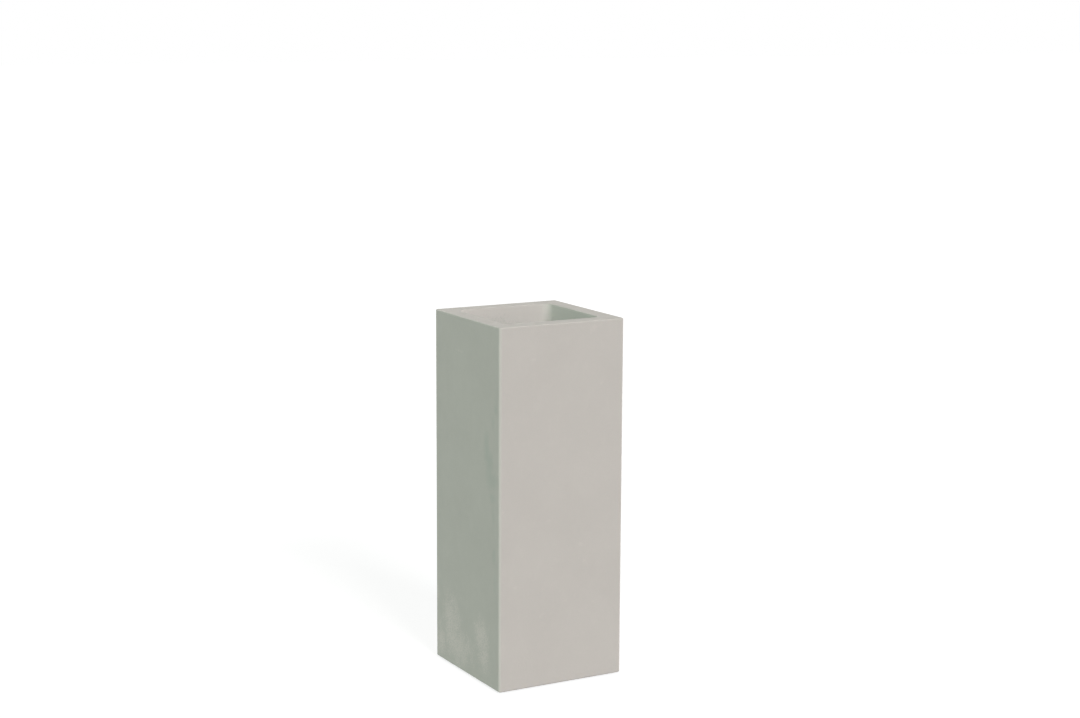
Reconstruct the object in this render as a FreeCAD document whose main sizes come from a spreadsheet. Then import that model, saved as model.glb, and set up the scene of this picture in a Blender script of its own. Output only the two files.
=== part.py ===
import FreeCAD, Part
import os
import re
import Sketcher
from FreeCAD import Vector

# A tall square fibreglass planter. Millimetres, +Z up, the front faces -Y.
# The origin is on the ground, at the centre of the base.

SIZES = {
    # outer shell
    "overall_width": 305.0,
    "overall_depth": 305.0,
    "overall_height": 800.0,
    "corner_radius": 6.0,         # round of the upright outer corners
    "least_round": 1.0,           # sharpest inside corner that the laminate can turn
    "wall": 4.0,                  # laminate of the four walls
    "ground_gap": 3.0,            # lower edge of the walls above the ground
    "base_edge_round": 3.0,
    "rim_width": 38.0,
    "rim_thickness": 4.0,
    "rim_edge_round": 2.5,        # outer edge of the rim
    "mouth_edge_round": 2.0,      # inner edge of the rim
    "mouth_corner_radius": 19.0,  # upright corners inside the mouth
    "lip_wall": 4.0,              # laminate of the down-turned lip
    "lip_depth": 52.0,            # from the top of the rim to the underside of the lip
    "ledge_reach": 10.0,          # ledge that turns in at the foot of the lip
    "ledge_thickness": 4.0,
    "ledge_edge_round": 1.5,
    # stiffening battens under the rim
    "bond_gap": 0.3,              # glue line between bonded pieces
    "core_height": 20.0,
    # floor
    "floor_thickness": 4.0,
    "floor_flange_height": 25.0,
    "floor_flange_wall": 3.0,
    # drain
    "drain_bore": 22.0,
    "bush_wall": 4.0,
    "bush_flange_width": 7.0,
    "bush_flange_thickness": 3.0,
    "bush_drop": 7.0,             # spigot below the underside of the floor
    "bush_edge_round": 1.0,
    "plug_clearance": 0.3,
    "plug_depth": 14.0,           # stem below the plug's flange
    "plug_taper": 1.0,            # how much thinner, on the radius, the stem's end is
    "plug_flange_width": 6.0,
    "plug_flange_thickness": 3.0,
    "plug_neck_diameter": 10.0,
    "plug_neck_height": 8.0,
    "plug_knob_diameter": 20.0,
    "plug_knob_height": 7.0,
    "plug_knob_round": 2.5,
    # feet
    "foot_height": 13.0,
    "foot_inset": 30.0,           # centre of a foot from the outer faces
    "foot_top_diameter": 32.0,
    "foot_tread_diameter": 27.0,
    "foot_edge_round": 1.5,
    "foot_recess_diameter": 13.0,
    "foot_recess_depth": 6.0,
    # fasteners of the feet
    "bolt_diameter": 5.0,
    "bolt_clearance": 0.25,       # round the shank, in the foot and in the floor
    "bolt_head_diameter": 9.5,
    "bolt_head_height": 3.0,
    "bolt_socket_across": 3.0,
    "bolt_socket_depth": 1.8,
    "bolt_end": 2.0,              # bolt above the nut
    "thread_clearance": 0.05,
    "washer_diameter": 15.0,
    "washer_thickness": 1.2,
    "nut_across": 8.0,
    "nut_height": 4.0,
    # planting liner
    "liner_clearance": 0.8,
    "liner_flange_thickness": 3.0,
    "liner_depth": 290.0,         # below the underside of the flange
    "liner_wall": 3.0,
    "liner_floor": 3.0,
    "liner_taper": 9.0,           # how far each wall leans in over the depth
    "liner_edge_round": 1.0,
    "grip_width": 90.0,           # hand slots in the liner's side walls
    "grip_height": 26.0,
    "grip_round": 10.0,
    "grip_drop": 14.0,            # from the flange down to the slot
    "liner_hole_diameter": 9.0,
    "liner_hole_offset": 55.0,    # drain holes, from the liner's middle
}

# Lengths that follow from the sheet, as expressions of its cells.
INNER_ROUND = "max(corner_radius - wall; least_round)"
RIM_UNDERSIDE = "(overall_height - rim_thickness)"
LIP_FOOT = "(overall_height - lip_depth)"
LEDGE_TOP = "(overall_height - lip_depth + ledge_thickness)"
LIP_INSET = "(rim_width - lip_wall)"
LIP_ROUND = "(mouth_corner_radius + lip_wall)"
LEDGE_INSET = "(rim_width + ledge_reach)"
LEDGE_ROUND = "max(mouth_corner_radius - ledge_reach; least_round)"
CORE_WIDTH = "(rim_width - wall - lip_wall - 2 * bond_gap)"
CORE_FOOT = "(overall_height - rim_thickness - bond_gap - core_height)"
FLOOR_TOP = "(foot_height + floor_thickness)"
FLOOR_INSET = "(wall + bond_gap)"
FLOOR_ROUND = f"max({INNER_ROUND} - bond_gap; least_round)"
BUSH_RADIUS = "(drain_bore / 2 + bush_wall)"
BUSH_TOP = "(foot_height + floor_thickness + bush_flange_thickness)"
FOOT_X = "(overall_width / 2 - foot_inset)"
FOOT_Y = "(overall_depth / 2 - foot_inset)"
FOOT_BORE = "(bolt_diameter + 2 * bolt_clearance)"
WASHER_TOP = f"({FLOOR_TOP} + washer_thickness)"
NUT_TOP = f"({FLOOR_TOP} + washer_thickness + nut_height)"
FLANGE_INSET = "(rim_width + liner_clearance)"
FLANGE_ROUND = "(mouth_corner_radius - liner_clearance)"
LINER_INSET = "(rim_width + ledge_reach + liner_clearance)"
LINER_FOOT = f"({LEDGE_TOP} - liner_depth)"
CAVITY_ROUND = f"max({FLANGE_ROUND} - liner_wall; least_round)"

CORNERS = {
    "front_left": (-1, -1),
    "front_right": (1, -1),
    "back_left": (-1, 1),
    "back_right": (1, 1),
}

TINY = 1e-6
ON_LEVEL = 0.01    # how far an edge may lie from the height that it is looked for at

doc = FreeCAD.newDocument("TallPlanter")
sheet = doc.addObject("Spreadsheet::Sheet", "Sizes")
for row, (alias, number) in enumerate(SIZES.items(), start=1):
    sheet.set(f"A{row}", alias)
    sheet.set(f"B{row}", str(number))
    sheet.setAlias(f"B{row}", alias)
doc.recompute()

sub_parts = []


# ---- expressions -------------------------------------------------------------

def bound(text):
    """Puts the sheet's name in front of each alias of an expression."""
    def full(word):
        return f"Sizes.{word.group()}" if word.group() in SIZES else word.group()
    return re.sub(r"[a-z_]+", full, text)


def value(text):
    """The number that an expression has now."""
    return float(sheet.evalExpression(bound(text)))


def place(item, x, y, z):
    """Binds where an object stands to the sheet."""
    item.setExpression("Placement.Base.x", bound(x))
    item.setExpression("Placement.Base.y", bound(y))
    item.setExpression("Placement.Base.z", bound(z))


# ---- sketches ----------------------------------------------------------------

def new_body(name):
    body = doc.addObject("PartDesign::Body", name)
    body.Label = name
    sub_parts.append(body)
    return body


def new_sketch(body, name, role="XY_Plane", up="0", along="0"):
    """A sketch on an origin plane, moved `along` it upwards or `up` from it."""
    sketch = body.newObject("Sketcher::SketchObject", name)
    plane = next(item for item in body.Origin.OriginFeatures if item.Role == role)
    sketch.AttachmentSupport = [(plane, "")]
    sketch.MapMode = "FlatFace"
    sketch.setExpression("AttachmentOffset.Base.z", bound(up))
    sketch.setExpression("AttachmentOffset.Base.y", bound(along))
    return sketch


def dimension(sketch, constraint, text):
    index = sketch.addConstraint(constraint)
    sketch.setExpression(f"Constraints[{index}]", bound(text))


def fix_point(sketch, edge, point, x, y):
    """Holds a point at x, y from the sketch's origin, which is the start of its level axis."""
    level_axis = -1
    upright_axis = -2
    for kind, text, axis in (("DistanceX", x, upright_axis), ("DistanceY", y, level_axis)):
        amount = value(text)
        if abs(amount) < TINY:
            sketch.addConstraint(Sketcher.Constraint("PointOnObject", edge, point, axis))
        elif amount > 0:
            outward = Sketcher.Constraint(kind, level_axis, 1, edge, point, amount)
            dimension(sketch, outward, text)
        else:
            inward = Sketcher.Constraint(kind, edge, point, level_axis, 1, -amount)
            dimension(sketch, inward, f"-({text})")


def rounded_rect(sketch, width, depth, radius):
    """A rectangle with round corners, centred on the sketch's origin."""
    half_width = value(width) / 2
    half_depth = value(depth) / 2
    bend = value(radius)
    quarter = FreeCAD.Units.parseQuantity("90 deg").getValueAs("rad").Value
    signs = [(1, 1), (-1, 1), (-1, -1), (1, -1)]
    arcs = []
    for turn, (sign_x, sign_y) in enumerate(signs):
        middle = Vector(sign_x * (half_width - bend), sign_y * (half_depth - bend), 0)
        circle = Part.Circle(middle, Vector(0, 0, 1), bend)
        arc = Part.ArcOfCircle(circle, turn * quarter, (turn + 1) * quarter)
        arcs.append(sketch.addGeometry(arc, False))
    lines = []
    for turn in range(4):
        start = sketch.Geometry[arcs[turn]].EndPoint
        end = sketch.Geometry[arcs[(turn + 1) % 4]].StartPoint
        lines.append(sketch.addGeometry(Part.LineSegment(start, end), False))
    for turn in range(4):
        following = arcs[(turn + 1) % 4]
        level = "Horizontal" if turn % 2 == 0 else "Vertical"
        sketch.addConstraint(Sketcher.Constraint("Tangent", arcs[turn], 2, lines[turn], 1))
        sketch.addConstraint(Sketcher.Constraint("Tangent", lines[turn], 2, following, 1))
        sketch.addConstraint(Sketcher.Constraint(level, lines[turn]))
    for arc in arcs[1:]:
        sketch.addConstraint(Sketcher.Constraint("Equal", arcs[0], arc))
    sketch.addConstraint(Sketcher.Constraint("Symmetric", arcs[0], 3, arcs[2], 3, -1, 1))
    dimension(sketch, Sketcher.Constraint("Radius", arcs[0], bend), radius)
    across = Sketcher.Constraint("DistanceX", lines[1], 1, lines[3], 1, 2 * half_width)
    dimension(sketch, across, width)
    deep = Sketcher.Constraint("DistanceY", lines[2], 1, lines[0], 1, 2 * half_depth)
    dimension(sketch, deep, depth)


def inset_rect(sketch, inset, radius):
    """A round-cornered rectangle that lies `inset` in from the planter's outer faces."""
    rounded_rect(sketch, f"overall_width - 2 * {inset}", f"overall_depth - 2 * {inset}", radius)


def circle_at(sketch, diameter, x="0", y="0"):
    middle = Vector(value(x), value(y), 0)
    ring = sketch.addGeometry(Part.Circle(middle, Vector(0, 0, 1), value(diameter) / 2), False)
    fix_point(sketch, ring, 3, x, y)
    size = Sketcher.Constraint("Diameter", ring, value(diameter))
    dimension(sketch, size, diameter)


def outline(sketch, points):
    """A closed run of straight lines through points given as expressions."""
    places = [Vector(value(x), value(y), 0) for x, y in points]
    lines = []
    for start, end in zip(places, places[1:] + places[:1]):
        lines.append(sketch.addGeometry(Part.LineSegment(start, end), False))
    for line, following in zip(lines, lines[1:] + lines[:1]):
        sketch.addConstraint(Sketcher.Constraint("Coincident", line, 2, following, 1))
    for line, (x, y) in zip(lines, points):
        fix_point(sketch, line, 1, x, y)


# ---- features ----------------------------------------------------------------

def grown(body, feature, before, more):
    """Rebuilds, and makes sure that a feature added or removed material."""
    doc.recompute()
    change = feature.Shape.Volume - before
    if (change > TINY) != more or abs(change) <= TINY:
        raise RuntimeError(f"{body.Label}: {feature.Name} changed the volume by {change:.1f}")
    return feature


def volume(body):
    doc.recompute()
    return body.Shape.Volume if body.Tip and not body.Shape.isNull() else 0.0


def pad(body, sketch, length):
    before = volume(body)
    feature = body.newObject("PartDesign::Pad", f"{sketch.Name}_pad")
    feature.Profile = sketch
    feature.setExpression("Length", bound(length))
    return grown(body, feature, before, True)


def pocket(body, sketch, length, upward=False, both_ways=False):
    """Cuts against the sketch's normal, or along it where `upward` is set."""
    before = volume(body)
    feature = body.newObject("PartDesign::Pocket", f"{sketch.Name}_pocket")
    feature.Profile = sketch
    feature.Reversed = upward
    feature.SideType = "Symmetric" if both_ways else "One side"
    feature.setExpression("Length", bound(length))
    return grown(body, feature, before, False)


def loft(body, first, last, add=True):
    before = volume(body)
    kind = "PartDesign::AdditiveLoft" if add else "PartDesign::SubtractiveLoft"
    feature = body.newObject(kind, f"{first.Name}_loft")
    feature.Profile = first
    feature.Sections = [last]
    feature.Ruled = True
    return grown(body, feature, before, add)


def revolve(body, points):
    """Turns an outline, given as radius and height, about the body's upright axis."""
    sketch = new_sketch(body, f"{body.Name}_profile", "XZ_Plane")
    outline(sketch, points)
    feature = body.newObject("PartDesign::Revolution", f"{body.Name}_turned")
    feature.Profile = sketch
    feature.ReferenceAxis = (sketch, ["V_Axis"])
    feature.Angle = 360
    return grown(body, feature, 0.0, True)


def round_off(body, radius, height, beyond=("0", "0"), within=None):
    """Rounds the edges at one height that lie beyond one half size and within another."""
    level = value(height)
    least = [value(text) for text in beyond]
    most = [value(text) for text in within] if within else None

    def chosen(edge):
        for vertex in edge.Vertexes:
            reach = (abs(vertex.X), abs(vertex.Y))
            if reach[0] < least[0] and reach[1] < least[1]:
                return False
            if most and (reach[0] > most[0] or reach[1] > most[1]):
                return False
        flat = edge.BoundBox.ZLength < ON_LEVEL
        return flat and abs(edge.Vertexes[0].Z - level) < ON_LEVEL

    base = body.Tip
    names = [f"Edge{i}" for i, edge in enumerate(base.Shape.Edges, start=1) if chosen(edge)]
    if not names:
        raise RuntimeError(f"{body.Label}: no edge to round at {height}")
    feature = body.newObject("PartDesign::Fillet", f"{body.Name}_round")
    feature.Base = (base, names)
    feature.setExpression("Radius", bound(radius))
    return grown(body, feature, base.Shape.Volume, False)


# ---- outer shell: walls, flat rim, down-turned lip and ledge -------------------

shell = new_body("outer_shell")
block = new_sketch(shell, "shell_block", up="ground_gap")
inset_rect(block, "0", "corner_radius")
pad(shell, block, "overall_height - ground_gap")

inside = new_sketch(shell, "shell_inside", up="ground_gap")
inset_rect(inside, "wall", INNER_ROUND)
pocket(shell, inside, f"{RIM_UNDERSIDE} - ground_gap", upward=True)

lip = new_sketch(shell, "shell_lip", up=LIP_FOOT)
inset_rect(lip, LIP_INSET, LIP_ROUND)
pad(shell, lip, "lip_depth - rim_thickness")

mouth = new_sketch(shell, "shell_mouth", up="overall_height")
inset_rect(mouth, "rim_width", "mouth_corner_radius")
pocket(shell, mouth, "lip_depth - ledge_thickness")

ledge = new_sketch(shell, "shell_ledge", up=LEDGE_TOP)
inset_rect(ledge, LEDGE_INSET, LEDGE_ROUND)
pocket(shell, ledge, "ledge_thickness")

mid_rim = ("overall_width / 2 - rim_width / 2", "overall_depth / 2 - rim_width / 2")
on_ledge = ("overall_width / 2 - rim_width", "overall_depth / 2 - rim_width")
round_off(shell, "min(rim_edge_round; rim_thickness * 0.75)", "overall_height", beyond=mid_rim)
round_off(shell, "min(mouth_edge_round; rim_thickness * 0.75)", "overall_height", within=mid_rim)
round_off(shell, "min(base_edge_round; wall * 0.75)", "ground_gap",
          beyond=("overall_width / 2 - wall / 2", "overall_depth / 2 - wall / 2"))
round_off(shell, "min(ledge_edge_round; ledge_thickness * 0.4)", LEDGE_TOP,
          within=(f"overall_width / 2 - {LEDGE_INSET} + least_round / 2",
                  f"overall_depth / 2 - {LEDGE_INSET} + least_round / 2"))

# ---- stiffening battens, bonded in the hollow under the rim --------------------

LONG_CORE = "overall_width - 2 * (wall + bond_gap)"
SHORT_CORE = f"overall_depth - 2 * (wall + 2 * bond_gap + {CORE_WIDTH})"
CORE_MIDDLE_X = f"overall_width / 2 - wall - bond_gap - {CORE_WIDTH} / 2"
CORE_MIDDLE_Y = f"overall_depth / 2 - wall - bond_gap - {CORE_WIDTH} / 2"


def rim_core(name, width, depth, x, y):
    core = new_body(name)
    batten = new_sketch(core, f"{name}_batten")
    rounded_rect(batten, width, depth, INNER_ROUND)
    pad(core, batten, "core_height")
    place(core, x, y, CORE_FOOT)


rim_core("rim_core_front", LONG_CORE, CORE_WIDTH, "0", f"-({CORE_MIDDLE_Y})")
rim_core("rim_core_back", LONG_CORE, CORE_WIDTH, "0", CORE_MIDDLE_Y)
rim_core("rim_core_left", CORE_WIDTH, SHORT_CORE, f"-({CORE_MIDDLE_X})", "0")
rim_core("rim_core_right", CORE_WIDTH, SHORT_CORE, CORE_MIDDLE_X, "0")

# ---- floor: a tray with an upstanding edge, bonded to the walls ----------------

floor = new_body("floor_panel")
tray = new_sketch(floor, "floor_tray", up="foot_height")
inset_rect(tray, FLOOR_INSET, FLOOR_ROUND)
pad(floor, tray, "floor_thickness + floor_flange_height")

well = new_sketch(floor, "floor_well", up=f"{FLOOR_TOP} + floor_flange_height")
inset_rect(well, f"({FLOOR_INSET} + floor_flange_wall)", FLOOR_ROUND)
pocket(floor, well, "floor_flange_height")

holes = new_sketch(floor, "floor_holes", up=FLOOR_TOP)
circle_at(holes, f"2 * ({BUSH_RADIUS} + bond_gap)")
for sign_x, sign_y in CORNERS.values():
    circle_at(holes, FOOT_BORE, f"{sign_x} * {FOOT_X}", f"{sign_y} * {FOOT_Y}")
pocket(floor, holes, "floor_thickness")

# ---- drain: a flanged bush, and a stopper that pulls up out of it --------------

bush = new_body("drain_bush")
revolve(bush, [
    ("drain_bore / 2", "foot_height - bush_drop"),
    (BUSH_RADIUS, "foot_height - bush_drop"),
    (BUSH_RADIUS, FLOOR_TOP),
    (f"{BUSH_RADIUS} + bush_flange_width", FLOOR_TOP),
    (f"{BUSH_RADIUS} + bush_flange_width", BUSH_TOP),
    ("drain_bore / 2", BUSH_TOP),
])
round_off(bush, "min(bush_edge_round; bush_flange_thickness / 2)", BUSH_TOP,
          beyond=(BUSH_RADIUS, BUSH_RADIUS))

STEM_TOP = "(drain_bore / 2 - plug_clearance)"
PLUG_FLANGE = "(drain_bore / 2 + plug_flange_width)"
PLUG_FLANGE_TOP = f"({BUSH_TOP} + plug_flange_thickness)"
KNOB_FOOT = f"({PLUG_FLANGE_TOP} + plug_neck_height)"
KNOB_TOP = f"({KNOB_FOOT} + plug_knob_height)"

plug = new_body("drain_plug")
revolve(plug, [
    ("0", f"{BUSH_TOP} - plug_depth"),
    (f"{STEM_TOP} - plug_taper", f"{BUSH_TOP} - plug_depth"),
    (STEM_TOP, BUSH_TOP),
    (PLUG_FLANGE, BUSH_TOP),
    (PLUG_FLANGE, PLUG_FLANGE_TOP),
    ("plug_neck_diameter / 2", PLUG_FLANGE_TOP),
    ("plug_neck_diameter / 2", KNOB_FOOT),
    ("plug_knob_diameter / 2", KNOB_FOOT),
    ("plug_knob_diameter / 2", KNOB_TOP),
    ("0", KNOB_TOP),
])
for height in (KNOB_FOOT, KNOB_TOP):
    round_off(plug, "min(plug_knob_round; plug_knob_height * 0.4)", height,
              beyond=("plug_knob_diameter / 2 - least_round",) * 2)

# ---- feet, bolted up through the floor -----------------------------------------

for corner, (sign_x, sign_y) in CORNERS.items():
    foot = new_body(f"foot_{corner}")
    revolve(foot, [
        ("foot_recess_diameter / 2", "0"),
        ("foot_tread_diameter / 2", "0"),
        ("foot_top_diameter / 2", "foot_height"),
        (f"{FOOT_BORE} / 2", "foot_height"),
        (f"{FOOT_BORE} / 2", "foot_recess_depth"),
        ("foot_recess_diameter / 2", "foot_recess_depth"),
    ])
    round_off(foot, "foot_edge_round", "0", beyond=("foot_tread_diameter / 2 - least_round",) * 2)
    place(foot, f"{sign_x} * {FOOT_X}", f"{sign_y} * {FOOT_Y}", "0")


def cylinder(name, diameter, height, bottom, corner):
    post = doc.addObject("Part::Cylinder", name)
    post.setExpression("Radius", bound(f"({diameter}) / 2"))
    post.setExpression("Height", bound(height))
    place(post, f"{corner[0]} * {FOOT_X}", f"{corner[1]} * {FOOT_Y}", bottom)
    return post


def hexagon(name, across, height, bottom, corner):
    prism = doc.addObject("Part::Prism", name)
    prism.Polygon = 6
    prism.setExpression("Circumradius", bound(f"{across} / sqrt(3)"))
    prism.setExpression("Height", bound(height))
    place(prism, f"{corner[0]} * {FOOT_X}", f"{corner[1]} * {FOOT_Y}", bottom)
    return prism


def combined(kind, name, base, tool):
    both = doc.addObject(kind, name)
    both.Base = base
    both.Tool = tool
    return both


def bolt(name, corner):
    """A button-headed bolt: its head sits in the foot's recess."""
    length = f"{NUT_TOP} + bolt_end - foot_recess_depth"
    shank = cylinder(f"{name}_shank", "bolt_diameter", length, "foot_recess_depth", corner)
    head_foot = "foot_recess_depth - bolt_head_height"
    head = cylinder(f"{name}_head", "bolt_head_diameter", "bolt_head_height", head_foot, corner)
    socket = hexagon(f"{name}_socket", "bolt_socket_across", "bolt_socket_depth", head_foot, corner)
    blank = combined("Part::Fuse", f"{name}_blank", head, shank)
    return combined("Part::Cut", name, blank, socket)


def washer(name, corner):
    disc = cylinder(f"{name}_disc", "washer_diameter", "washer_thickness", FLOOR_TOP, corner)
    bore = cylinder(f"{name}_bore", FOOT_BORE, "washer_thickness", FLOOR_TOP, corner)
    return combined("Part::Cut", name, disc, bore)


def nut(name, corner):
    blank = hexagon(f"{name}_blank", "nut_across", "nut_height", WASHER_TOP, corner)
    bore_size = "bolt_diameter + 2 * thread_clearance"
    bore = cylinder(f"{name}_bore", bore_size, "nut_height", WASHER_TOP, corner)
    return combined("Part::Cut", name, blank, bore)


for label, make in (("foot_bolts", bolt), ("foot_washers", washer), ("foot_nuts", nut)):
    group = doc.addObject("Part::Compound", label)
    group.Label = label
    group.Links = [make(f"{label}_{corner}", signs) for corner, signs in CORNERS.items()]
    sub_parts.append(group)

# ---- planting liner, which hangs by its flange on the shell's ledge -------------

liner = new_body("liner")
liner_low = new_sketch(liner, "liner_low", up=LINER_FOOT)
inset_rect(liner_low, f"({LINER_INSET} + liner_taper)", FLANGE_ROUND)
liner_high = new_sketch(liner, "liner_high", up=LEDGE_TOP)
inset_rect(liner_high, LINER_INSET, FLANGE_ROUND)
loft(liner, liner_low, liner_high)

flange = new_sketch(liner, "liner_flange", up=LEDGE_TOP)
inset_rect(flange, FLANGE_INSET, FLANGE_ROUND)
pad(liner, flange, "liner_flange_thickness")

FLANGE_TOP = f"({LEDGE_TOP} + liner_flange_thickness)"
cavity_low = new_sketch(liner, "liner_cavity_low", up=f"{LINER_FOOT} + liner_floor")
inset_rect(cavity_low, f"({LINER_INSET} + liner_taper + liner_wall)", CAVITY_ROUND)
cavity_high = new_sketch(liner, "liner_cavity_high", up=FLANGE_TOP)
inset_rect(cavity_high, f"({LINER_INSET} + liner_wall)", CAVITY_ROUND)
loft(liner, cavity_low, cavity_high, add=False)

grips = new_sketch(liner, "liner_grips", "YZ_Plane", along=f"{LEDGE_TOP} - grip_drop - grip_height / 2")
rounded_rect(grips, "grip_width", "grip_height", "grip_round")
pocket(liner, grips, "overall_width", both_ways=True)

drains = new_sketch(liner, "liner_drains", up=f"{LINER_FOOT} + liner_floor")
for sign_x, sign_y in CORNERS.values():
    circle_at(drains, "liner_hole_diameter", f"{sign_x} * liner_hole_offset",
              f"{sign_y} * liner_hole_offset")
pocket(liner, drains, "liner_floor")

round_off(liner, "min(liner_edge_round; liner_flange_thickness * 0.4)", FLANGE_TOP,
          beyond=(f"overall_width / 2 - {LINER_INSET} + least_round",
                  f"overall_depth / 2 - {LINER_INSET} + least_round"))

# ---- check and write -----------------------------------------------------------

doc.recompute()
for item in doc.Objects:
    if "Invalid" in item.State or "Error" in item.State:
        raise RuntimeError(f"{item.Label} failed: {item.State}")

os.makedirs("parts", exist_ok=True)
for item in sub_parts:
    shape = item.Shape
    if shape.isNull() or not shape.isValid():
        raise RuntimeError(f"{item.Label} has no valid shape")
for item in sub_parts:
    item.Shape.exportStep(f"parts/{item.Label}.step")
    box = item.Shape.BoundBox
    print(f"{item.Label:18s} solids {len(item.Shape.Solids)}  volume {item.Shape.Volume:12.1f}  "
          f"z {box.ZMin:.2f} to {box.ZMax:.2f}")
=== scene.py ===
import math

import bmesh
import bpy
from mathutils import Euler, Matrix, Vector, noise


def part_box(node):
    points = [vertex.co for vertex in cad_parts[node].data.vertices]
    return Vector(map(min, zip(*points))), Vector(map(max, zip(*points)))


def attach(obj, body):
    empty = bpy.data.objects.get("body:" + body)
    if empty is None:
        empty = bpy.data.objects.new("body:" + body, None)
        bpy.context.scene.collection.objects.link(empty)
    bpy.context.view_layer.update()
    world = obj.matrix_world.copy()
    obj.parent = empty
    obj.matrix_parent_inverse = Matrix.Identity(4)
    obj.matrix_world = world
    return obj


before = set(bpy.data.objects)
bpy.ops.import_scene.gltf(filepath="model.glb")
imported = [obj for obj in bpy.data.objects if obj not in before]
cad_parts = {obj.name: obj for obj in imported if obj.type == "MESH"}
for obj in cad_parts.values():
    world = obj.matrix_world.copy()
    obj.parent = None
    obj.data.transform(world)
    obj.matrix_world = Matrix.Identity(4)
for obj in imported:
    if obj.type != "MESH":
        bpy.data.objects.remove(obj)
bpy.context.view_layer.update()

# Everything is in metres. The planter stands on z = 0 and its front faces -Y.
SHELL_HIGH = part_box("outer_shell")[1]
HALF_WIDTH = SHELL_HIGH[0]
RIM_HEIGHT = SHELL_HIGH[2]
RIM_WIDTH = 0.038
LAMINATE = 0.004          # thickness of the shell's walls, rim and lip
MOUTH_HALF = HALF_WIDTH - RIM_WIDTH
FACE_IN = 0.001           # depth under an outer face at which a point still counts as on it
FACE_FADE = 0.004         # depth at which it no longer does
EDGE_WEAR_AND_HIGHLIGHT = 0.0035         # how far the paler edges, wear and a painted highlight, reach from an outer edge

# Colours, linear.
GELCOAT = (0.535, 0.501, 0.468)
# Pale dust; also the colour of the painted highlight on the outer edges.
DUST_AND_HIGHLIGHT = (0.67, 0.625, 0.575)
LEFT_WALL_BOUNCE_LIGHT = (0.71, 0.63, 0.60)   # painted light: pale patches on the left wall that stand for light bounced up from the floor
# Colour of drips and dark specks, and of the painted shade in the mouth.
DRIP_AND_SHADE = (0.44, 0.45, 0.41)
MOUTH_PAINTED_LIGHT = (0.68, 0.65, 0.61)          # paler colour inside the mouth: painted light against the shade there
LAMINATE_RESIN = (0.33, 0.33, 0.28)
GLASS_FIBRE = (0.52, 0.52, 0.45)
LINER_BLACK = (0.048, 0.049, 0.052)
LINER_SCUFF = (0.105, 0.105, 0.104)
LINER_SOIL = (0.085, 0.068, 0.052)
SEALANT = (0.42, 0.42, 0.40)
TABBING_RESIN = (0.36, 0.37, 0.29)
RUBBER = (0.022, 0.022, 0.023)
RUBBER_DUST = (0.09, 0.085, 0.078)
STEEL = (0.58, 0.57, 0.55)
STEEL_DULL = (0.38, 0.37, 0.36)
BUSH = (0.045, 0.046, 0.048)
WOOD_PALE = (0.56, 0.40, 0.24)
WOOD_DARK = (0.36, 0.22, 0.11)

STRAND_LAYERS = 6         # directions that the laminate's glass strands run in
STRAND_TURN = 0.55        # radians from one of these directions to the next
TREAD_HEIGHT = 0.0004     # rings are only on the face that meets the ground
TREAD_RING_PITCH = 0.0018
FOOT_LOW, FOOT_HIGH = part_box("foot_back_right")
FOOT_REACH = (FOOT_LOW[0] + FOOT_HIGH[0]) / 2
LINER_LOW, LINER_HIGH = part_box("liner")
LINER_BOTTOM = LINER_LOW[2]
LINER_FLANGE = 0.003      # thickness of the flange that the liner hangs by
LINER_INSET = 0.0488      # its walls' top, from the shell's outer faces
LINER_TAPER = 0.009       # how far each of its walls leans in
LINER_FOOT_HALF = HALF_WIDTH - LINER_INSET - LINER_TAPER
LINER_INSIDE = 0.0025     # depth into its 3 mm walls from which a point counts as inside
SOIL_HEIGHT = 0.16        # how far up the liner's inside dried soil clings
LEDGE_TOP = LINER_HIGH[2] - LINER_FLANGE

# Soft-edged marks on a wall: middle across and up, half size across and up, and amount.
# Pale patches on the left wall, mostly low: painted light bounced up from the floor.
LEFT_WALL_BOUNCE_LIGHT_PATCHES = (
    (0.074, 0.105, 0.056, 0.082, 0.75),
    (0.045, 0.055, 0.096, 0.052, 0.74),
    (0.125, 0.045, 0.034, 0.050, 0.78),
    (0.144, 0.152, 0.010, 0.034, 0.50),
    (0.034, 0.724, 0.022, 0.004, 0.45),
    (-0.068, 0.108, 0.042, 0.050, 0.75),
    (-0.080, 0.060, 0.036, 0.040, 0.70),
)
DRIPS_LEFT_WALL = (
    (-0.136, 0.622, 0.009, 0.013, 0.65),
    (-0.123, 0.594, 0.010, 0.020, 0.55),
    (-0.094, 0.528, 0.016, 0.050, 0.90),
    (-0.108, 0.500, 0.024, 0.036, 0.95),
    (-0.118, 0.466, 0.028, 0.026, 1.00),
    (-0.120, 0.428, 0.016, 0.018, 0.85),
    (-0.124, 0.385, 0.009, 0.040, 0.50),
    (-0.128, 0.302, 0.011, 0.020, 0.70),
    (-0.132, 0.245, 0.009, 0.030, 0.40),
)
SPLASHES_RIGHT_WALL = (
    (-0.095, 0.060, 0.045, 0.055, 0.60),
    (0.060, 0.045, 0.060, 0.040, 0.55),
    (0.110, 0.095, 0.030, 0.060, 0.55),
)
SPLASHES_BACK_WALL = (
    (-0.100, 0.080, 0.042, 0.070, 0.65),
    (-0.050, 0.035, 0.070, 0.035, 0.55),
    (0.085, 0.050, 0.055, 0.048, 0.62),
)
# Darker specks low on the mouth's back wall: painted shade.
PAINTED_SHADE_BACK_OF_MOUTH = (
    (-0.018, 0.764, 0.052, 0.024, 0.55),
    (0.035, 0.757, 0.050, 0.012, 0.45),
)


# ---- materials ---------------------------------------------------------------

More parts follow.
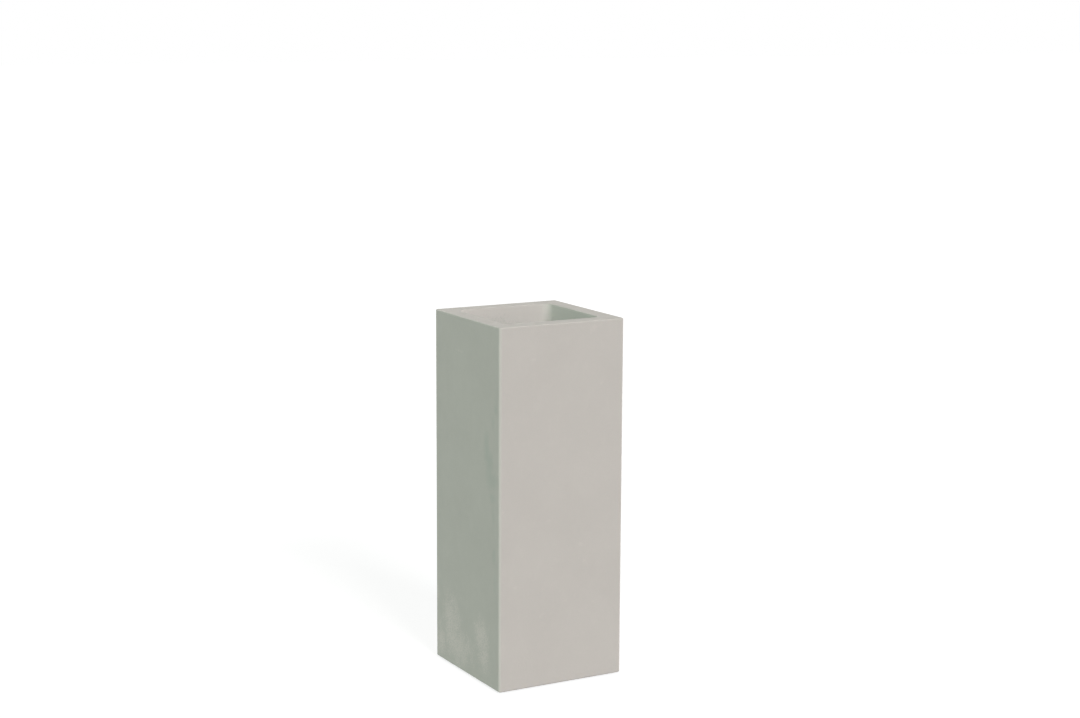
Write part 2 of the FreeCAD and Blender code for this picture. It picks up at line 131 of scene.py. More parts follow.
class Graph:
    """A node material. Inputs are numbers, tuples or the outputs of other nodes."""

    def __init__(self, name):
        self.material = bpy.data.materials.new(name)
        self.material.use_nodes = True
        self.tree = self.material.node_tree
        self.shader = self.tree.nodes["Principled BSDF"]
        self.place = self.node("TexCoord").outputs["Object"]
        apart = self.node("SeparateXYZ", {"Vector": self.place})
        self.x, self.y, self.z = apart.outputs

    def put(self, socket, source):
        if isinstance(source, bpy.types.NodeSocket):
            self.tree.links.new(source, socket)
        else:
            socket.default_value = source

    def node(self, kind, inputs=None, **settings):
        made = self.tree.nodes.new("ShaderNode" + kind)
        for key, setting in settings.items():
            setattr(made, key, setting)
        for key, source in (inputs or {}).items():
            self.put(made.inputs[key], source)
        return made

    def math(self, operation, a, b=0.0):
        return self.node("Math", {0: a, 1: b}, operation=operation).outputs[0]

    def absolute(self, a):
        return self.math("ABSOLUTE", a)

    def times(self, *factors):
        """Product of two or more factors."""
        result = factors[0]
        for factor in factors[1:]:
            result = self.math("MULTIPLY", result, factor)
        return result

    def ramp(self, source, low, high, bottom=0.0, top=1.0):
        """Goes smoothly from `bottom` at `low` to `top` at `high`."""
        inputs = {"Value": source, "From Min": low, "From Max": high, "To Min": bottom, "To Max": top}
        return self.node("MapRange", inputs, interpolation_type="SMOOTHSTEP").outputs["Result"]

    def inverse(self, source):
        return self.math("SUBTRACT", 1.0, source)

    def mix(self, factor, a, b):
        """Colour `a` at factor 0, `b` at 1."""
        made = self.node("Mix", data_type="RGBA")
        self.put(made.inputs[0], factor)
        for socket, colour in ((made.inputs[6], a), (made.inputs[7], b)):
            self.put(socket, (*colour, 1.0) if isinstance(colour, tuple) else colour)
        return made.outputs[2]

    def noise(self, scale, detail=2.0, rough=0.5, stretch=(1, 1, 1), turn=(0, 0, 0)):
        """Noise from 0 to 1, `scale` cells to the metre."""
        mapping = self.node("Mapping", {"Vector": self.place, "Scale": stretch, "Rotation": turn})
        inputs = {"Vector": mapping.outputs["Vector"], "Scale": scale, "Detail": detail,
                  "Roughness": rough}
        return self.node("TexNoise", inputs).outputs[0]

    def cells(self, scale):
        """Distance to the middle of the nearest cell, `scale` cells to the metre."""
        return self.node("TexVoronoi", {"Vector": self.place, "Scale": scale}).outputs["Distance"]

    def bump(self, height, distance, under=None):
        """Normal of a relief `distance` metres high, on top of the normal `under`."""
        inputs = {"Height": height, "Distance": distance, "Strength": 1.0}
        if under is not None:
            inputs["Normal"] = under
        return self.node("Bump", inputs).outputs["Normal"]

    def finish(self, colour, roughness, normal, **constants):
        """Fills the shader's sockets. A constant's name is the socket's, with _ for each space."""
        self.put(self.shader.inputs["Base Color"], colour)
        self.put(self.shader.inputs["Roughness"], roughness)
        self.put(self.shader.inputs["Normal"], normal)
        for key, setting in constants.items():
            self.shader.inputs[key.replace("_", " ")].default_value = setting
        return self.material


def fibres(graph):
    """Short strands of glass that cross at all angles, from 0 between them to 1 on them."""
    flat_x = graph.math("ADD", graph.x, graph.z)
    flat_y = graph.math("ADD", graph.y, graph.z)
    flat = graph.node("CombineXYZ", {"X": flat_x, "Y": flat_y}).outputs["Vector"]
    strands = None
    for index in range(STRAND_LAYERS):
        turned = graph.node("Mapping", {"Vector": flat, "Rotation": (0, 0, index * STRAND_TURN + 0.2)})
        long_cells = graph.node("Mapping", {"Vector": turned.outputs["Vector"], "Scale": (30, 520, 1),
                                            "Location": (0, index * 7.3, index * 3.1)})
        inputs = {"Vector": long_cells.outputs["Vector"], "Scale": 1.0, "Detail": 1.0}
        streak = graph.node("TexNoise", inputs).outputs[0]
        line = graph.ramp(streak, 0.60, 0.70)
        strands = line if strands is None else graph.math("MAXIMUM", strands, line)
    return strands


def laminate_look(graph, resin=LAMINATE_RESIN):
    """Colour, roughness and height of the raw inside of the laminate."""
    strands = fibres(graph)
    cloud = graph.noise(11.0, 3.0, 0.55)
    patchy = graph.mix(graph.ramp(cloud, 0.35, 0.68), resin, tuple(0.82 * c for c in resin))
    colour = graph.mix(graph.times(strands, 0.5), patchy, GLASS_FIBRE)
    roughness = graph.ramp(graph.noise(60.0, 2.0), 0.3, 0.7, 0.38, 0.62)
    height = graph.math("ADD", graph.times(strands, 0.5), graph.noise(70.0, 2.0))
    return colour, roughness, height


def marks(graph, table, across, up):
    """How densely the marks of a table cover a wall, 0 to 1, with ragged edges."""
    ragged = graph.times(graph.math("SUBTRACT", graph.noise(38.0, 4.0, 0.7), 0.5), 1.3)
    total = None
    for middle_across, middle_up, half_across, half_up, amount in table:
        off_across = graph.times(graph.math("SUBTRACT", across, middle_across), 1.0 / half_across)
        off_up = graph.times(graph.math("SUBTRACT", up, middle_up), 1.0 / half_up)
        squares = graph.math("ADD", graph.times(off_across, off_across), graph.times(off_up, off_up))
        distance = graph.math("ADD", graph.math("SQRT", squares), ragged)
        spot = graph.ramp(distance, 0.1, 1.25, amount, 0.0)
        total = spot if total is None else graph.math("MAXIMUM", total, spot)
    return total


def speckled(graph, cover, grain):
    """Breaks a smooth cover up into fine specks that grow together where it is dense."""
    threshold = graph.inverse(cover)
    return graph.ramp(grain, graph.math("SUBTRACT", threshold, 0.12), graph.math("ADD", threshold, 0.25))


def bare_coat(graph):
    """Colour of a hand-sprayed, hand-sanded coat, and its pinholes."""
    # Broad, medium and fine unevenness.
    broad = graph.noise(7.0, 2.0, 0.5)
    patchy = graph.noise(55.0, 3.0, 0.6)
    speck = graph.noise(620.0, 2.0, 0.6)
    dark = tuple(0.985 * c for c in GELCOAT)
    light = tuple(1.012 * c for c in GELCOAT)
    colour = graph.mix(graph.ramp(broad, 0.3, 0.7), dark, light)
    colour = graph.mix(graph.times(graph.ramp(patchy, 0.45, 0.75), 0.06), colour, DUST_AND_HIGHLIGHT)
    colour = graph.mix(graph.times(graph.ramp(speck, 0.52, 0.72), 0.22), colour, DRIP_AND_SHADE)

    # A few pinholes and hairline scratches.
    pinholes = graph.ramp(graph.cells(85.0), 0.03, 0.05, 1.0, 0.0)
    pinholes = graph.times(pinholes, graph.ramp(graph.noise(17.0), 0.5, 0.56))
    colour = graph.mix(graph.times(pinholes, 0.55), colour, DRIP_AND_SHADE)
    hairline = graph.noise(1.0, 1.0, 0.4, stretch=(28, 800, 45), turn=(0.5, 0.35, 0.8))
    scratches = graph.times(graph.ramp(hairline, 0.70, 0.76), graph.ramp(patchy, 0.5, 0.6))
    return graph.mix(graph.times(scratches, 0.13), colour, DUST_AND_HIGHLIGHT), pinholes


def add_wall_marks(graph, colour, grain):
    """Adds dust that splashed rain left low on the right and back walls, pale patches on the left wall
    that are painted light bounced up from the floor, and drips. The front gets wiped.
    """
    x, y, z = graph.x, graph.y, graph.z
    left = graph.ramp(x, -HALF_WIDTH + FACE_IN, -HALF_WIDTH + FACE_FADE, 1.0, 0.0)
    right = graph.ramp(x, HALF_WIDTH - FACE_FADE, HALF_WIDTH - FACE_IN)
    back = graph.ramp(y, HALF_WIDTH - FACE_FADE, HALF_WIDTH - FACE_IN)
    walls = (
        # The left wall's entry paints light bounced up from the floor; the right and back walls get dust.
        (left, LEFT_WALL_BOUNCE_LIGHT_PATCHES, y, LEFT_WALL_BOUNCE_LIGHT, 0.72),
        (right, SPLASHES_RIGHT_WALL, y, DUST_AND_HIGHLIGHT, 0.5),
        (back, SPLASHES_BACK_WALL, x, DUST_AND_HIGHLIGHT, 0.5),
    )
    for wall, table, across, dust_and_bounce_colour, share in walls:
        cover = marks(graph, table, across, z)
        specks = speckled(graph, cover, grain)
        patches = graph.math("ADD", graph.times(specks, 0.65), graph.times(cover, 0.35))
        colour = graph.mix(graph.times(wall, patches, share), colour, dust_and_bounce_colour)

    # Darker drips beside the left front corner.
    drip = graph.times(left, marks(graph, DRIPS_LEFT_WALL, y, z))
    return graph.mix(graph.times(drip, 0.62), colour, DRIP_AND_SHADE)


def paint_mouth_light_and_shade(graph, colour, reach, grain):
    """Paints light and shade in the sheltered mouth: a paler colour that offsets its shade, and darker
    specks deeper down, painted shade.
    """
    x, y, z = graph.x, graph.y, graph.z
    in_mouth = graph.times(graph.ramp(reach, MOUTH_HALF + 0.0005, MOUTH_HALF + 0.002, 1.0, 0.0),
                           graph.ramp(z, RIM_HEIGHT - 0.003, RIM_HEIGHT - 0.0003, 1.0, 0.0))
    # Painted light: a paler colour on the mouth's inner walls, against their shade.
    colour = graph.mix(graph.times(in_mouth, 0.42), colour, MOUTH_PAINTED_LIGHT)
    # Painted shade: darker deeper down the mouth, and in specks on its back wall.
    deep = graph.ramp(z, RIM_HEIGHT - 0.012, RIM_HEIGHT - 0.06)
    depth_shade = graph.times(in_mouth, deep, graph.ramp(graph.noise(90.0, 3.0, 0.7), 0.45, 0.75))
    mouth_back = graph.times(in_mouth, graph.ramp(y, MOUTH_HALF - 0.008, MOUTH_HALF - 0.001))
    shade_specks = graph.times(mouth_back, speckled(graph, marks(graph, PAINTED_SHADE_BACK_OF_MOUTH, x, z), grain))
    return graph.mix(graph.times(graph.math("MAXIMUM", depth_shade, shade_specks), 0.4), colour, DRIP_AND_SHADE)


def wear_and_highlight_edges(graph, colour, reach):
    """Makes the outer edges, which get knocked, a little paler: wear, and a painted highlight along them.
    """
    near = HALF_WIDTH - EDGE_WEAR_AND_HIGHLIGHT
    outermost = HALF_WIDTH - FACE_IN
    upright_edge = graph.times(graph.ramp(graph.absolute(graph.x), near, outermost),
                               graph.ramp(graph.absolute(graph.y), near, outermost))
    top_edge = graph.times(graph.ramp(reach, near, outermost),
                           graph.ramp(graph.z, RIM_HEIGHT - 0.003, RIM_HEIGHT - 0.0008))
    worn_and_highlit = graph.times(graph.math("MAXIMUM", upright_edge, top_edge),
                         graph.ramp(graph.noise(70.0, 3.0, 0.6), 0.5, 0.62))
    return graph.mix(graph.times(worn_and_highlit, 0.25), colour, DUST_AND_HIGHLIGHT)


def gelcoat_material():
    """Matte coat outside and in the mouth, and raw laminate on the hidden inside."""
    graph = Graph("gelcoat_outer_shell")
    reach = graph.math("MAXIMUM", graph.absolute(graph.x), graph.absolute(graph.y))
    grain = graph.ramp(graph.noise(300.0, 4.0, 0.72), 0.33, 0.67)
    colour, pinholes = bare_coat(graph)
    colour = add_wall_marks(graph, colour, grain)
    colour = paint_mouth_light_and_shade(graph, colour, reach, grain)
    colour = wear_and_highlight_edges(graph, colour, reach)

    raw_colour, raw_roughness, raw_height = laminate_look(graph)
    raw = graph.times(graph.math("GREATER_THAN", reach, MOUTH_HALF + LAMINATE / 2),
                      graph.math("LESS_THAN", reach, HALF_WIDTH - 0.75 * LAMINATE),
                      graph.math("LESS_THAN", graph.z, RIM_HEIGHT - LAMINATE))
    colour = graph.mix(raw, colour, raw_colour)

    # Roughness, and relief from broad waves down to fine grain.
    coat_roughness = graph.ramp(graph.noise(40.0, 3.0), 0.3, 0.7, 0.56, 0.68)
    roughness = graph.math("ADD", graph.times(coat_roughness, graph.inverse(raw)),
                           graph.times(raw_roughness, raw))
    wave = graph.bump(graph.noise(9.0, 1.0), 0.0004)
    pits = graph.math("SUBTRACT", graph.noise(750.0, 2.0, 0.6), graph.times(pinholes, 3.0))
    peel = graph.bump(graph.noise(210.0, 2.0), 0.00025, under=wave)
    grain_bump = graph.bump(pits, 0.00016, under=peel)
    raw_bump = graph.bump(graph.times(raw_height, raw), 0.0006, under=grain_bump)
    return graph.finish(colour, roughness, raw_bump, Specular_IOR_Level=0.25)


def laminate_material(name, resin, height_scale=0.0005):
    graph = Graph(name)
    colour, roughness, height = laminate_look(graph, resin)
    patches = graph.ramp(graph.noise(24.0, 3.0, 0.6), 0.5, 0.75)
    colour = graph.mix(graph.times(patches, 0.2), colour, DUST_AND_HIGHLIGHT)
    return graph.finish(colour, roughness, graph.bump(height, height_scale), Specular_IOR_Level=0.5)


def sealant_material():
    """Grey brushed-out bead with fine bubbles and stuck dust."""
    graph = Graph("sealant_bead")
    smear = graph.noise(45.0, 3.0, 0.6)
    colour = graph.mix(graph.ramp(smear, 0.4, 0.7), SEALANT, tuple(0.78 * c for c in SEALANT))
    bubbles = graph.ramp(graph.cells(650.0), 0.1, 0.3)
    colour = graph.mix(graph.times(graph.inverse(bubbles), 0.3), colour, LAMINATE_RESIN)
    roughness = graph.ramp(smear, 0.3, 0.7, 0.34, 0.55)
    return graph.finish(colour, roughness, graph.bump(bubbles, 0.0001), Specular_IOR_Level=0.5)


def worn_plastic(graph, base, scuff, grain_scale, roughness, worn_share, lines_share):
    """Colour, roughness and normal of moulded plastic or rubber, with grain, scuffs and scratches."""
    worn = graph.ramp(graph.noise(21.0, 5.0, 0.7), 0.5, 0.78)
    long_noise = graph.noise(1.0, 2.0, 0.5, stretch=(240, 240, 14), turn=(0.06, 0.04, 0))
    lines = graph.ramp(long_noise, 0.66, 0.74)
    colour = graph.mix(graph.times(worn, worn_share), base, scuff)
    colour = graph.mix(graph.times(lines, lines_share), colour, scuff)
    uneven = graph.ramp(graph.noise(120.0, 3.0), 0.3, 0.7, roughness - 0.07, roughness + 0.09)
    pebble = graph.cells(grain_scale)
    height = graph.math("ADD", pebble, graph.times(graph.noise(grain_scale * 2.0, 2.0), 0.5))
    return colour, uneven, graph.bump(height, 0.00012)


def moulded_plastic(name, base, scuff, grain_scale, roughness, worn_share, lines_share):
    graph = Graph(name)
    looks = worn_plastic(graph, base, scuff, grain_scale, roughness, worn_share, lines_share)
    return graph.finish(*looks, Specular_IOR_Level=0.4)


def liner_material():
    """Grained plastic with vertical scuffs outside and dried soil low inside."""
    graph = Graph("liner_plastic")
    colour, roughness, normal = worn_plastic(graph, LINER_BLACK, LINER_SCUFF, 700.0, 0.5, 0.22, 0.3)
    reach = graph.math("MAXIMUM", graph.absolute(graph.x), graph.absolute(graph.y))
    inside = graph.math("LESS_THAN", reach, LINER_FOOT_HALF - LINER_INSIDE)
    low = graph.ramp(graph.z, LINER_BOTTOM, LINER_BOTTOM + SOIL_HEIGHT, 1.0, 0.0)
    crumbs = graph.ramp(graph.noise(150.0, 4.0, 0.7), 0.42, 0.62)
    soil = graph.times(inside, low, crumbs)
    colour = graph.mix(graph.times(soil, 0.7), colour, LINER_SOIL)
    roughness = graph.math("ADD", roughness, graph.times(soil, 0.25))
    return graph.finish(colour, roughness, normal, Specular_IOR_Level=0.4)


def foot_material():
    """Rubber whose treads have fine moulded rings."""
    graph = Graph("foot_rubber")
    colour, roughness, normal = worn_plastic(graph, RUBBER, RUBBER_DUST, 900.0, 0.72, 0.3, 0.1)
    off_x = graph.math("SUBTRACT", graph.absolute(graph.x), FOOT_REACH)
    off_y = graph.math("SUBTRACT", graph.absolute(graph.y), FOOT_REACH)
    squares = graph.math("ADD", graph.times(off_x, off_x), graph.times(off_y, off_y))
    rings = graph.math("SINE", graph.times(graph.math("SQRT", squares), 2.0 * math.pi / TREAD_RING_PITCH))
    tread = graph.math("LESS_THAN", graph.z, TREAD_HEIGHT)
    normal = graph.bump(graph.times(rings, tread), 0.0003, under=normal)
    colour = graph.mix(graph.times(tread, graph.ramp(rings, -0.2, 1.0, 0.0, 0.5)), colour, RUBBER_DUST)
    return graph.finish(colour, roughness, normal, Specular_IOR_Level=0.4)


def steel_material():
    """Plain turned steel, dulled in patches."""
    graph = Graph("stainless_steel")
    turned = graph.noise(1.0, 2.0, 0.5, stretch=(2500, 2500, 300))
    tarnish = graph.ramp(graph.noise(240.0, 3.0, 0.6), 0.45, 0.75)
    colour = graph.mix(graph.times(tarnish, 0.5), STEEL, STEEL_DULL)
    roughness = graph.ramp(turned, 0.3, 0.7, 0.24, 0.42)
    return graph.finish(colour, roughness, graph.bump(turned, 0.00003), Metallic=1.0)


def wood_material():
    """Sawn softwood with bent year rings."""
    graph = Graph("sawn_batten")
    bent = graph.noise(9.0, 2.0)
    across = graph.math("ADD", graph.times(graph.z, 210.0), graph.times(bent, 5.0))
    rings = graph.math("SINE", across)
    pores = graph.ramp(graph.noise(1.0, 2.0, 0.5, stretch=(60, 60, 1500)), 0.58, 0.7)
    colour = graph.mix(graph.ramp(rings, -0.4, 1.0), WOOD_PALE, WOOD_DARK)
    colour = graph.mix(graph.times(pores, 0.4), colour, WOOD_DARK)
    roughness = graph.ramp(pores, 0.0, 1.0, 0.62, 0.8)
    return graph.finish(colour, roughness, graph.bump(rings, 0.0001), Specular_IOR_Level=0.3)


def dress(node, material):
    """Gives a CAD node its finish."""
    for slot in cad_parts[node].material_slots:
        slot.material = material


FEET = ("foot_front_left", "foot_front_right", "foot_back_left", "foot_back_right")
CORES = ("rim_core_front", "rim_core_back", "rim_core_left", "rim_core_right")
FASTENERS = ("foot_bolts", "foot_washers", "foot_nuts")

foot_rubber = foot_material()
steel = steel_material()
wood = wood_material()
liner_plastic = liner_material()
dress("outer_shell", gelcoat_material())
dress("floor_panel", laminate_material("raw_laminate", LAMINATE_RESIN))
dress("liner", liner_plastic)
dress("drain_bush", moulded_plastic("bush_plastic", BUSH, LINER_SCUFF, 1200.0, 0.36, 0.15, 0.1))
dress("drain_plug", moulded_plastic("plug_rubber", RUBBER, RUBBER_DUST, 1000.0, 0.66, 0.3, 0.1))
for foot in FEET:
    dress(foot, foot_rubber)
for fastener in FASTENERS:
    dress(fastener, steel)
for core in CORES:
    dress(core, wood)


# ---- beads and strips that bond the floor ------------------------------------

FLOOR_LOW, FLOOR_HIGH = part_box("floor_panel")
FLOOR_BOTTOM = FLOOR_LOW[2]
FLANGE_TOP = FLOOR_HIGH[2]
FLANGE_WALL = 0.003       # thickness of the floor's upturned flange
FLANGE_INNER = FLOOR_HIGH[0] - FLANGE_WALL
FLOOR_TOP = FLOOR_BOTTOM + LAMINATE
WALL_INNER = HALF_WIDTH - LAMINATE
WALL_CORNER = 0.002       # radius of the shell's upright corners, inside
BUSH_FLANGE_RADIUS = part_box("drain_bush")[1][0]
QUARTERS = ((1, 1), (-1, 1), (-1, -1), (1, -1))   # sides of the four corners, anticlockwise
CORNER_STEPS = 8
SIDE_STEPS = 40
TUCK = 0.0002             # how far a bead reaches into what it sticks to
COARSE_WAVES = 55.0       # waves to the metre along a hand-laid edge
FINE_WAVES = 210.0


def smooth_solid(name, verts, faces, material, body):
    """A smooth-shaded piece that rides on a body."""
    mesh = bpy.data.meshes.new(name)
    mesh.from_pydata(verts, [], faces)
    shaped = bmesh.new()
    shaped.from_mesh(mesh)
    bmesh.ops.recalc_face_normals(shaped, faces=shaped.faces)
    for face in shaped.faces:
        face.smooth = True
    shaped.to_mesh(mesh)
    shaped.free()
    mesh.materials.append(material)
    piece = bpy.data.objects.new(name, mesh)
    bpy.context.scene.collection.objects.link(piece)
    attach(piece, body)


def tube_faces(first, rings, count, closed):
    """Faces between rings of `count` points. An open tube gets its two caps."""
    faces = []
    for ring in range(rings if closed else rings - 1):
        other = (ring + 1) % rings
        for step in range(count):
            after = (step + 1) % count
            faces.append((first + ring * count + step, first + ring * count + after,
                          first + other * count + after, first + other * count + step))
    if not closed:
        faces.append(tuple(first + step for step in range(count)))
        faces.append(tuple(first + (rings - 1) * count + step for step in range(count)))
    return faces


def rounded_corners(half_across, half_up, radius):
    """Points and outward directions on the corner arcs of a rounded rectangle, anticlockwise."""
    points = []
    for turn, (side, level) in enumerate(QUARTERS):
        centre = (side * (half_across - radius), level * (half_up - radius))
        for step in range(CORNER_STEPS + 1):
            angle = (turn + step / CORNER_STEPS) * math.pi / 2
            outward = (math.cos(angle), math.sin(angle))
            points.append(((centre[0] + radius * outward[0], centre[1] + radius * outward[1]), outward))
    return points


def square_loop(half, corner):
    """Points round a square with rounded corners and evenly divided sides, always the same number."""
    arcs = [Vector(point) for point, outward in rounded_corners(half, half, corner)]
    points = []
    for index, point in enumerate(arcs):
        points.append(point)
        if index % (CORNER_STEPS + 1) == CORNER_STEPS:
            after = arcs[(index + 1) % len(arcs)]
            points.extend(point.lerp(after, step / SIDE_STEPS) for step in range(1, SIDE_STEPS))
    return points


def loop_piece(name, rings, material, seed):
    """A solid ring. Each of its rings is (half size, corner radius, height, waviness)."""
    verts = []
    for half, corner, z, wavy in rings:
        for point in square_loop(half, corner):
            place = Vector((point.x * COARSE_WAVES, point.y * COARSE_WAVES, seed))
            fine = Vector((point.x * FINE_WAVES, point.y * FINE_WAVES, seed + 3.7))
            shift = wavy * (noise.noise(place) + 0.5 * noise.noise(fine))
            verts.append((point.x, point.y, z + shift))
    faces = tube_faces(0, len(rings), len(verts) // len(rings), closed=True)
    smooth_solid(name, verts, faces, material, "planter")


def build_bonds():
    mat_strip = laminate_material("glass_mat_strip", TABBING_RESIN, 0.0006)
    bead = sealant_material()
    # Hollow fillet between the walls and the underside of the floor, uneven at its foot.
    loop_piece("resin_fillet_under_floor", (
        (WALL_INNER + TUCK, WALL_CORNER, FLOOR_BOTTOM - 0.0066, 0.0018),
        (WALL_INNER - 0.0009, WALL_CORNER, FLOOR_BOTTOM - 0.0046, 0.0010),
        (WALL_INNER - 0.0024, 0.0030, FLOOR_BOTTOM - 0.0020, 0.0004),
        (WALL_INNER - 0.0050, 0.0045, FLOOR_BOTTOM - 0.0006, 0.0002),
        (WALL_INNER - 0.0068, 0.0060, FLOOR_BOTTOM + TUCK, 0.0),
        (WALL_INNER + TUCK, WALL_CORNER, FLOOR_BOTTOM + TUCK, 0.0),
    ), bead, 1.3)
    # Strip of glass mat from the walls over the flange's edge and down its inside.
    loop_piece("glass_mat_strip_inside", (
        (WALL_INNER + TUCK, WALL_CORNER, FLANGE_TOP + 0.036, 0.0060),
        (WALL_INNER - 0.0009, WALL_CORNER, FLANGE_TOP + 0.034, 0.0060),
        (WALL_INNER - 0.0013, 0.0030, FLANGE_TOP + 0.012, 0.0),
        (WALL_INNER - 0.0020, 0.0035, FLANGE_TOP + 0.0035, 0.0),
        (FLANGE_INNER - 0.0008, 0.0040, FLANGE_TOP + 0.0012, 0.0),
        (FLANGE_INNER - 0.0013, 0.0040, FLANGE_TOP - 0.0020, 0.0),
        (FLANGE_INNER - 0.0010, 0.0040, FLOOR_TOP + 0.010, 0.0030),
        (FLANGE_INNER + TUCK, 0.0030, FLOOR_TOP + 0.009, 0.0030),
        (FLANGE_INNER + TUCK, 0.0030, FLANGE_TOP + TUCK, 0.0),
        (WALL_INNER + TUCK, WALL_CORNER, FLANGE_TOP + TUCK, 0.0),
    ), mat_strip, 4.1)
    # Round bead against the rim of the bush's flange.
    around = BUSH_FLANGE_RADIUS
    loop_piece("sealant_round_bush", (
        (around - TUCK, around - TUCK, FLOOR_TOP - TUCK, 0.0),
        (around + 0.0026, around + 0.0026, FLOOR_TOP - TUCK, 0.0),
        (around + 0.0021, around + 0.0021, FLOOR_TOP + 0.0010, 0.0004),
        (around + 0.0009, around + 0.0009, FLOOR_TOP + 0.0021, 0.0004),
        (around - TUCK, around - TUCK, FLOOR_TOP + 0.0025, 0.0003),
    ), bead, 7.9)


build_bonds()


# ---- ribs and beads moulded on the liner -------------------------------------

RIB_OFFSET = 0.045        # from the middle of a wall
RIB_WIDTH = 0.005
RIB_PROUD = 0.0014
RIB_TOP = LEDGE_TOP - 0.062       # clear of the hand slots
RIB_BOTTOM = LINER_BOTTOM + 0.012
RIB_FADE = 0.010          # length over which a rib runs out at each end
RIB_STEPS = 36
ARC_STEPS = 8
GRIP_WIDTH = 0.090        # the hand slots
GRIP_HEIGHT = 0.026
GRIP_CORNER = 0.010
GRIP_MIDDLE = LEDGE_TOP - 0.027
BEAD_WIDTH = 0.0028
BEAD_PROUD = 0.0006
BEAD_GAP = 0.0006         # from the slot's edge to the bead


def liner_reach(z):
    """Distance of the liner's outer wall from its middle, at a height."""
    return LINER_FOOT_HALF + LINER_TAPER * (z - LINER_BOTTOM) / (LEDGE_TOP - LINER_BOTTOM)


def crown(share):
    """Height of a half-round section at -1 to 1 across it."""
    return math.sqrt(max(0.0, 1.0 - share * share))


def on_wall(turn, along, reach, z):
    """A point on one of the four walls, counted anticlockwise from +X."""
    return ((reach, along, z), (-along, reach, z), (-reach, -along, z), (along, -reach, z))[turn]


def build_liner_ribs():
    """Two upright half-round ribs on each wall of the liner."""
    verts = []
    faces = []
    for turn in range(4):
        for middle in (-RIB_OFFSET, RIB_OFFSET):
            first = len(verts)
            for ring in range(RIB_STEPS + 1):
                z = RIB_TOP + (RIB_BOTTOM - RIB_TOP) * ring / RIB_STEPS
                ends = min(RIB_TOP - z, z - RIB_BOTTOM) / RIB_FADE
                proud = RIB_PROUD * crown(1.0 - min(1.0, ends))
                for step in range(ARC_STEPS + 1):
                    share = step / ARC_STEPS * 2.0 - 1.0
                    reach = liner_reach(z) - TUCK + (proud + TUCK) * crown(share)
                    verts.append(on_wall(turn, middle + share * RIB_WIDTH / 2, reach, z))
                verts.append(on_wall(turn, middle, liner_reach(z) - 2 * TUCK, z))
            faces += tube_faces(first, RIB_STEPS + 1, ARC_STEPS + 2, closed=False)
    smooth_solid("liner_ribs", verts, faces, liner_plastic, "liner")


def build_grip_beads():
    """A half-round bead round each hand slot, on the right and left walls."""
    verts = []
    faces = []
    outline = rounded_corners(GRIP_WIDTH / 2, GRIP_HEIGHT / 2, GRIP_CORNER)
    for turn in (0, 2):
        first = len(verts)
        for (along, up), (out_along, out_up) in outline:
            for step in range(ARC_STEPS + 1):
                share = step / ARC_STEPS * 2.0 - 1.0
                offset = BEAD_GAP + BEAD_WIDTH / 2 * (1.0 + share)
                z = GRIP_MIDDLE + up + out_up * offset
                reach = liner_reach(z) - TUCK + (BEAD_PROUD + TUCK) * crown(share)
                verts.append(on_wall(turn, along + out_along * offset, reach, z))
            # The bead's root, hidden in the wall.
            offset = BEAD_GAP + BEAD_WIDTH / 2
            z = GRIP_MIDDLE + up + out_up * offset
            verts.append(on_wall(turn, along + out_along * offset, liner_reach(z) - 2 * TUCK, z))
        faces += tube_faces(first, len(outline), ARC_STEPS + 2, closed=True)
    smooth_solid("liner_grip_beads", verts, faces, liner_plastic, "liner")


build_liner_ribs()
build_grip_beads()


# ---- camera ------------------------------------------------------------------

CAMERA_LENS = 69.56       # millimetres, as the sensor's width
SENSOR_WIDTH = 36.0
CAMERA_PLACE = (-2.1772, -3.9582, 1.4826)
CAMERA_TURN = (80.1565, -0.2723, -29.0910)   # degrees

camera_data = bpy.data.cameras.new("camera")
camera_data.lens = CAMERA_LENS
camera_data.sensor_width = SENSOR_WIDTH
camera = bpy.data.objects.new("camera", camera_data)
camera.location = CAMERA_PLACE
camera.rotation_euler = Euler([math.radians(angle) for angle in CAMERA_TURN], "XYZ")
bpy.context.scene.collection.objects.link(camera)
bpy.context.scene.camera = camera


# ---- floor, world and lamps --------------------------------------------------

WHITE = (1.0, 1.0, 1.0, 1.0)
FLOOR_HALF = 40.0
FLOOR_Z = -0.0003       # just clear of the treads, so that the two faces don't flicker
FLOOR_COLOUR = (0.34, 0.34, 0.34, 1.0)
FLOOR_GLOW = 0.80       # what the camera sees of the floor besides its lit colour
AMBIENT = 0.22          # strength of the world's light on everything but seen rays
NEUTRAL = (1.0, 1.0, 1.0)
WARM = (1.0, 0.97, 0.94)
GREENISH = (0.78, 1.0, 0.88)

# Name, where it shines from, irradiance, angular size in degrees, colour.
LAMPS = (
    ("key", (0.0, -0.895, 0.446), 0.775, 24.0, NEUTRAL),
    ("left_fill", (-1.0, 0.0, 0.33), 0.41, 24.0, GREENISH),
    ("right_fill", (1.0, 0.0, 0.15), 0.42, 24.0, WARM),
    ("back_fill", (0.1, 1.0, 0.15), 0.38, 30.0, WARM),
)


def seen_ray(tree):
    """1 for camera, glossy and transmission rays, which see the white background."""
    path = tree.nodes.new("ShaderNodeLightPath")
    total = path.outputs["Is Camera Ray"]
    for name in ("Is Glossy Ray", "Is Transmission Ray"):
        either = tree.nodes.new("ShaderNodeMath")
        either.operation = "MAXIMUM"
        tree.links.new(total, either.inputs[0])
        tree.links.new(path.outputs[name], either.inputs[1])
        total = either.outputs[0]
    return total


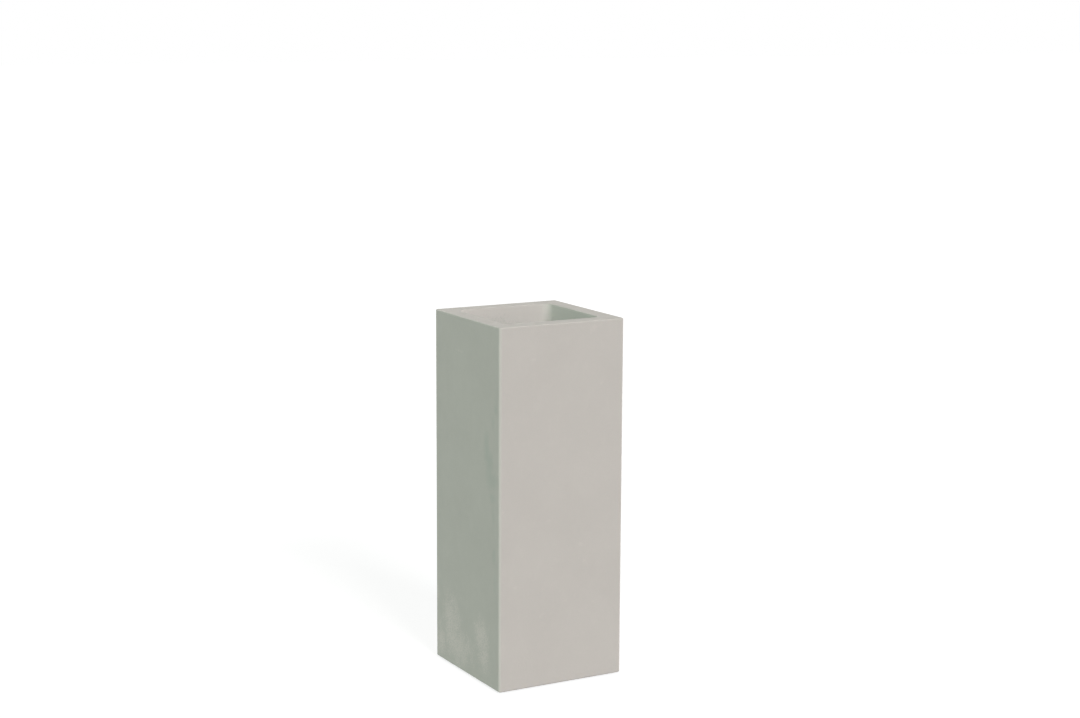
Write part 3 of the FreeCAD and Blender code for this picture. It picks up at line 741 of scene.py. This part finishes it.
def build_floor():
    """A wide pale floor that takes the shadow and looks white."""
    mesh = bpy.data.meshes.new("floor")
    sides = ((-1, -1), (1, -1), (1, 1), (-1, 1))
    corners = [(side_x * FLOOR_HALF, side_y * FLOOR_HALF, FLOOR_Z) for side_x, side_y in sides]
    mesh.from_pydata(corners, [], [(0, 1, 2, 3)])
    floor = bpy.data.objects.new("floor", mesh)
    bpy.context.scene.collection.objects.link(floor)
    material = bpy.data.materials.new("floor")
    material.use_nodes = True
    tree = material.node_tree
    tree.nodes.clear()
    plain = tree.nodes.new("ShaderNodeBsdfDiffuse")
    plain.inputs["Color"].default_value = FLOOR_COLOUR
    glow = tree.nodes.new("ShaderNodeEmission")
    glow.inputs["Color"].default_value = WHITE
    strength = tree.nodes.new("ShaderNodeMath")
    strength.operation = "MULTIPLY"
    strength.inputs[1].default_value = FLOOR_GLOW
    tree.links.new(seen_ray(tree), strength.inputs[0])
    tree.links.new(strength.outputs[0], glow.inputs["Strength"])
    both = tree.nodes.new("ShaderNodeAddShader")
    tree.links.new(plain.outputs[0], both.inputs[0])
    tree.links.new(glow.outputs[0], both.inputs[1])
    output = tree.nodes.new("ShaderNodeOutputMaterial")
    tree.links.new(both.outputs[0], output.inputs["Surface"])
    mesh.materials.append(material)


def build_world():
    """White to seen rays, and a low even light on the planter."""
    world = bpy.data.worlds.new("studio")
    world.use_nodes = True
    tree = world.node_tree
    tree.nodes.clear()
    background = tree.nodes.new("ShaderNodeBackground")
    background.inputs["Color"].default_value = WHITE
    strength = tree.nodes.new("ShaderNodeMapRange")
    strength.inputs["To Min"].default_value = AMBIENT
    strength.inputs["To Max"].default_value = 1.0
    tree.links.new(seen_ray(tree), strength.inputs["Value"])
    tree.links.new(strength.outputs["Result"], background.inputs["Strength"])
    output = tree.nodes.new("ShaderNodeOutputWorld")
    tree.links.new(background.outputs[0], output.inputs["Surface"])
    bpy.context.scene.world = world


def sun(name, source, irradiance, softness, colour):
    """A far lamp in the direction `source`. Irradiance 1 shows a facing surface as coloured."""
    data = bpy.data.lights.new(name, "SUN")
    data.energy = math.pi * irradiance
    data.angle = math.radians(softness)
    data.color = colour
    lamp = bpy.data.objects.new(name, data)
    lamp.rotation_euler = Vector(source).to_track_quat("Z", "Y").to_euler()
    bpy.context.scene.collection.objects.link(lamp)


build_floor()
build_world()
for lamp in LAMPS:
    sun(*lamp)

bpy.context.scene.view_settings.view_transform = "Standard"
